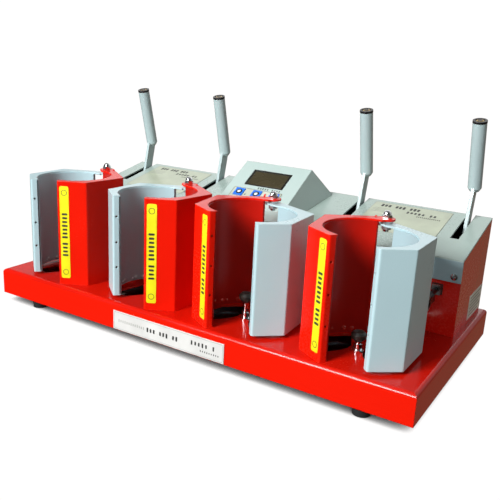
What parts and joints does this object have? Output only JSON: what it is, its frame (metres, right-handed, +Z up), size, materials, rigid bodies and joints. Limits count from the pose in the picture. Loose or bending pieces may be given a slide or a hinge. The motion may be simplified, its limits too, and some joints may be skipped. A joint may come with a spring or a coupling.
{
  "type": "mug heat press",
  "caption": "Bench-top heat press with a row of hinged cylindrical clamps on a folded base, each closed by its own hand lever, and a sloped control unit on the rear housing.",
  "frame": {"origin": "on the ground under the middle of the base", "axes": "+Z up, front towards -Y, +X to the right seen from the front"},
  "size_m": [0.56, 0.27, 0.2728],
  "materials": {
    "red_paint": "gloss powder coat",
    "base_paint": "gloss powder coat",
    "gray_paint": "semi-gloss powder coat",
    "cover_paint": "semi-gloss powder coat",
    "unit_paint": "semi-gloss powder coat",
    "chrome": "polished",
    "steel": "machined",
    "zinc": "zinc plated",
    "silicone": "matte",
    "black_rubber": "matte",
    "black_plastic": "fine grain",
    "window": "gloss",
    "label_film": "satin film",
    "key_blue": "gloss",
    "board_green": "satin",
    "plate_white": "printed aluminium",
    "rocker_red": "gloss"
  },
  "bodies": {
    "base": {"base_tray": "base_paint", "base_plate": "zinc", "rubber_feet": "black_rubber", "name_plate": "plate_white", "housing": "red_paint", "top_cover": "cover_paint", "cover_screws": "chrome", "control_box": "unit_paint", "display_window": "window", "keypad_panel": "label_film", "controller_board": "board_green", "power_inlet": "black_plastic", "switch_frame": "black_plastic", "fixed_liners": "red_paint", "fixed_heaters": "silicone", "heater_leads": "black_rubber", "shell_leads": "black_rubber", "hinge_bolts": "chrome", "hinge_nuts": "chrome", "rod_guides": "steel", "lever_brackets": "zinc", "lever_shafts": "steel", "rest_nuts": "chrome", "fixed_shell_1": "red_paint", "fixed_shell_2": "red_paint", "fixed_shell_3": "red_paint", "fixed_shell_4": "red_paint"},
    "clamp_1": {"moving_shell_1": "gray_paint", "moving_liner_1": "gray_paint", "moving_heater_1": "silicone"},
    "hand_lever_1": {"lever_1": "gray_paint", "grip_cap_1": "black_plastic"},
    "rod_1": {"push_rod_1": "steel"},
    "rest_1": {"mug_rest_1": "black_rubber"},
    "clamp_2": {"moving_shell_2": "gray_paint", "moving_liner_2": "gray_paint", "moving_heater_2": "silicone"},
    "hand_lever_2": {"lever_2": "gray_paint", "grip_cap_2": "black_plastic"},
    "rod_2": {"push_rod_2": "steel"},
    "rest_2": {"mug_rest_2": "black_rubber"},
    "clamp_3": {"moving_shell_3": "gray_paint", "moving_liner_3": "gray_paint", "moving_heater_3": "silicone"},
    "hand_lever_3": {"lever_3": "gray_paint", "grip_cap_3": "black_plastic"},
    "rod_3": {"push_rod_3": "steel"},
    "rest_3": {"mug_rest_3": "black_rubber"},
    "clamp_4": {"moving_shell_4": "gray_paint", "moving_liner_4": "gray_paint", "moving_heater_4": "silicone"},
    "hand_lever_4": {"lever_4": "gray_paint", "grip_cap_4": "black_plastic"},
    "rod_4": {"push_rod_4": "steel"},
    "rest_4": {"mug_rest_4": "black_rubber"},
    "key_down": {"button_down": "key_blue"},
    "key_up": {"button_up": "key_blue"},
    "key_start": {"button_start": "key_blue"},
    "rocker": {"switch_rocker": "rocker_red"}
  },
  "joints": [
    {"name": "lever_pull_1", "type": "hinge", "parent": "base", "child": "hand_lever_1", "pos_m": [-0.24553, 0.1014, 0.0837], "axis": [1, 0, 0], "range_deg": [0, 38]},
    {"name": "clamp_close_1", "type": "hinge", "parent": "base", "child": "clamp_1", "pos_m": [-0.196, -0.0255, 0.103], "axis": [0, 0, 1], "range_deg": [0, 9.5]},
    {"name": "rod_push_1", "type": "slide", "parent": "base", "child": "rod_1", "axis": [0, -1, 0], "range_m": [0, 0.00823]},
    {"name": "rest_height_1", "type": "slide", "parent": "base", "child": "rest_1", "axis": [0, 0, 1], "range_m": [0, 0.02]},
    {"name": "lever_pull_2", "type": "hinge", "parent": "base", "child": "hand_lever_2", "pos_m": [-0.10953, 0.1014, 0.0837], "axis": [1, 0, 0], "range_deg": [0, 38]},
    {"name": "clamp_close_2", "type": "hinge", "parent": "base", "child": "clamp_2", "pos_m": [-0.06, -0.0255, 0.103], "axis": [0, 0, 1], "range_deg": [0, 9.5]},
    {"name": "rod_push_2", "type": "slide", "parent": "base", "child": "rod_2", "axis": [0, -1, 0], "range_m": [0, 0.00823]},
    {"name": "rest_height_2", "type": "slide", "parent": "base", "child": "rest_2", "axis": [0, 0, 1], "range_m": [0, 0.02]},
    {"name": "lever_pull_3", "type": "hinge", "parent": "base", "child": "hand_lever_3", "pos_m": [0.10943, 0.1014, 0.0837], "axis": [1, 0, 0], "range_deg": [0, 38]},
    {"name": "clamp_close_3", "type": "hinge", "parent": "base", "child": "clamp_3", "pos_m": [0.06, -0.0255, 0.103], "axis": [0, 0, -1], "range_deg": [0, 11.9]},
    {"name": "rod_push_3", "type": "slide", "parent": "base", "child": "rod_3", "axis": [0, -1, 0], "range_m": [0, 0.0103]},
    {"name": "rest_height_3", "type": "slide", "parent": "base", "child": "rest_3", "axis": [0, 0, 1], "range_m": [-0.0094, 0.0106]},
    {"name": "lever_pull_4", "type": "hinge", "parent": "base", "child": "hand_lever_4", "pos_m": [0.24557, 0.1014, 0.0837], "axis": [1, 0, 0], "range_deg": [0, 38]},
    {"name": "clamp_close_4", "type": "hinge", "parent": "base", "child": "clamp_4", "pos_m": [0.196, -0.0255, 0.103], "axis": [0, 0, -1], "range_deg": [0, 8.3]},
    {"name": "rod_push_4", "type": "slide", "parent": "base", "child": "rod_4", "axis": [0, -1, 0], "range_m": [0, 0.00719]},
    {"name": "rest_height_4", "type": "slide", "parent": "base", "child": "rest_4", "axis": [0, 0, 1], "range_m": [0, 0.02]},
    {"name": "press_down", "type": "slide", "parent": "base", "child": "key_down", "axis": [0, 0.515, -0.8572], "range_m": [0, 0.0008], "stiffness_N_per_m": 500},
    {"name": "press_up", "type": "slide", "parent": "base", "child": "key_up", "axis": [0, 0.515, -0.8572], "range_m": [0, 0.0008], "stiffness_N_per_m": 500},
    {"name": "press_start", "type": "slide", "parent": "base", "child": "key_start", "axis": [0, 0.515, -0.8572], "range_m": [0, 0.0008], "stiffness_N_per_m": 500},
    {"name": "mains_rocker", "type": "hinge", "parent": "base", "child": "rocker", "pos_m": [-0.16, 0.129, 0.085], "axis": [1, 0, 0], "range_deg": [-8, 8]}
  ],
  "couplings": [
    {"joint": "clamp_close_1", "follows": "lever_pull_1", "ratio": 0.25},
    {"joint": "rod_push_1", "follows": "lever_pull_1", "m_per_rad": 0.012411},
    {"joint": "clamp_close_2", "follows": "lever_pull_2", "ratio": 0.25},
    {"joint": "rod_push_2", "follows": "lever_pull_2", "m_per_rad": 0.012411},
    {"joint": "clamp_close_3", "follows": "lever_pull_3", "ratio": 0.31316},
    {"joint": "rod_push_3", "follows": "lever_pull_3", "m_per_rad": 0.015536},
    {"joint": "clamp_close_4", "follows": "lever_pull_4", "ratio": 0.21842},
    {"joint": "rod_push_4", "follows": "lever_pull_4", "m_per_rad": 0.010846}
  ]
}
